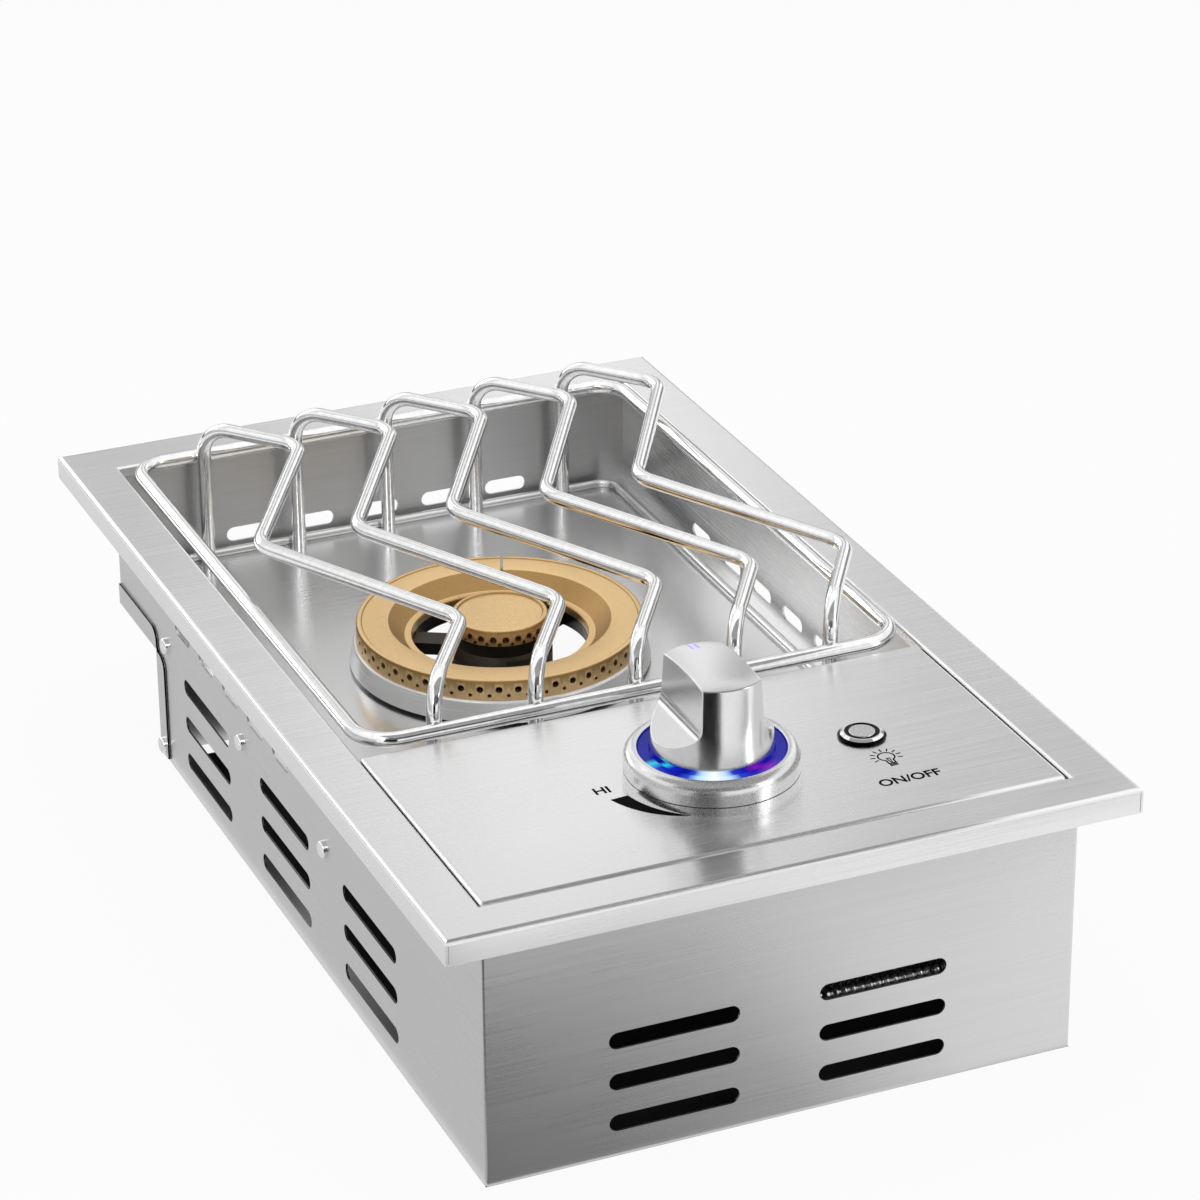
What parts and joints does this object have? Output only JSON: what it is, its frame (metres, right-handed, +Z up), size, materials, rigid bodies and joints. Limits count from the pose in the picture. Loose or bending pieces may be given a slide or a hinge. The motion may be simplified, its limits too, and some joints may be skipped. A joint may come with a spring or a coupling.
{
  "type": "side burner",
  "caption": "Built-in gas side burner: folded steel rim over a vented box, wire grate above a double-ring brass burner in a well, lit knob with bezel, push button.",
  "frame": {"origin": "middle of the footprint at the base of the box", "axes": "+Z up, -Y to the user at the control panel, +X to the user's right"},
  "size_m": [0.318, 0.525, 0.1845],
  "materials": {
    "base_aluminium": "turned cast aluminium",
    "black_plastic": "black moulded plastic",
    "board": "green board",
    "brushed_sheet": "brushed 304 stainless sheet",
    "burner_brass": "machined brass, fine grained, matt",
    "chrome_button": "bright chrome",
    "dark_casting": "dark cast iron",
    "fitting_brass": "plain brass fitting",
    "gasket_rubber": "black rubber",
    "hose_steel": "corrugated stainless",
    "light_diffuser": "clear diffuser lit blue",
    "plated_tube": "zinc plated steel",
    "pointer_mark": "translucent mark",
    "polished_tray": "bright rolled stainless sheet",
    "polished_wire": "polished stainless wire",
    "satin_button": "spun satin steel",
    "satin_zinc": "satin chromed zinc",
    "stem_steel": "plain steel",
    "white_ceramic": "glazed ceramic"
  },
  "bodies": {
    "cabinet": {"bezel_base": "satin_zinc", "bezel_gasket": "gasket_rubber", "bezel_nut": "black_plastic", "body_wrap": "brushed_sheet", "burner_base": "base_aluminium", "burner_body": "dark_casting", "button_housing": "chrome_button", "button_nut": "black_plastic", "button_ring": "black_plastic", "control_panel": "brushed_sheet", "drip_tray": "polished_tray", "gas_hose": "hose_steel", "gas_inlet": "fitting_brass", "gas_manifold": "base_aluminium", "gas_pipe": "plated_tube", "gas_valve": "fitting_brass", "hose_nut_front": "fitting_brass", "hose_nut_rear": "fitting_brass", "igniter_electrode": "white_ceramic", "igniter_module": "black_plastic", "inlet_locknut": "plated_tube", "inner_injector": "fitting_brass", "inner_venturi": "plated_tube", "knob_bezel": "satin_zinc", "led_board": "board", "light_ring": "light_diffuser", "panel_bracket_left": "brushed_sheet", "panel_bracket_right": "brushed_sheet", "rear_panel": "brushed_sheet", "ring_injector": "fitting_brass", "ring_venturi": "plated_tube", "screws_left": "stem_steel", "screws_right": "stem_steel", "top_frame": "brushed_sheet", "valve_bracket": "brushed_sheet", "well_deck": "brushed_sheet"},
    "grate": {"grate_frame": "polished_wire", "grate_rod_1": "polished_wire", "grate_rod_2": "polished_wire", "grate_rod_3": "polished_wire", "grate_rod_4": "polished_wire", "grate_rod_5": "polished_wire"},
    "outer_cap": {"outer_cap": "burner_brass"},
    "inner_cap": {"inner_cap": "burner_brass"},
    "knob_push": {"push_collar": "fitting_brass"},
    "knob": {"control_knob": "satin_zinc", "knob_pointer": "pointer_mark", "valve_stem": "stem_steel"},
    "button": {"button_cap": "satin_button"},
    "inner_shutter": {"inner_shutter": "plated_tube"},
    "ring_shutter": {"ring_shutter": "plated_tube"}
  },
  "joints": [
    {"name": "grate_lift", "type": "slide", "parent": "cabinet", "child": "grate", "axis": [0, 0, 1], "range_m": [0, 0.12]},
    {"name": "outer_cap_lift", "type": "slide", "parent": "cabinet", "child": "outer_cap", "axis": [0, 0, 1], "range_m": [0, 0.04]},
    {"name": "inner_cap_lift", "type": "slide", "parent": "cabinet", "child": "inner_cap", "axis": [0, 0, 1], "range_m": [0, 0.04]},
    {"name": "knob_push", "type": "slide", "parent": "cabinet", "child": "knob_push", "axis": [0, 0, -1], "range_m": [0, 0.0035], "stiffness_N_per_m": 1500, "springref_m": -0.006},
    {"name": "knob_turn", "type": "hinge", "parent": "knob_push", "child": "knob", "pos_m": [-0.0024, -0.1757, 0.15], "axis": [0, 0, 1], "range_deg": [0, 180]},
    {"name": "button_push", "type": "slide", "parent": "cabinet", "child": "button", "axis": [0, 0, -1], "range_m": [0, 0.0015], "stiffness_N_per_m": 800, "springref_m": -0.002},
    {"name": "inner_shutter_turn", "type": "hinge", "parent": "cabinet", "child": "inner_shutter", "pos_m": [-0.002, -0.1407, 0.045], "axis": [0, 1, 0], "range_deg": [0, 50]},
    {"name": "ring_shutter_turn", "type": "hinge", "parent": "cabinet", "child": "ring_shutter", "pos_m": [0.031, -0.1407, 0.045], "axis": [0, 1, 0], "range_deg": [0, 50]}
  ]
}
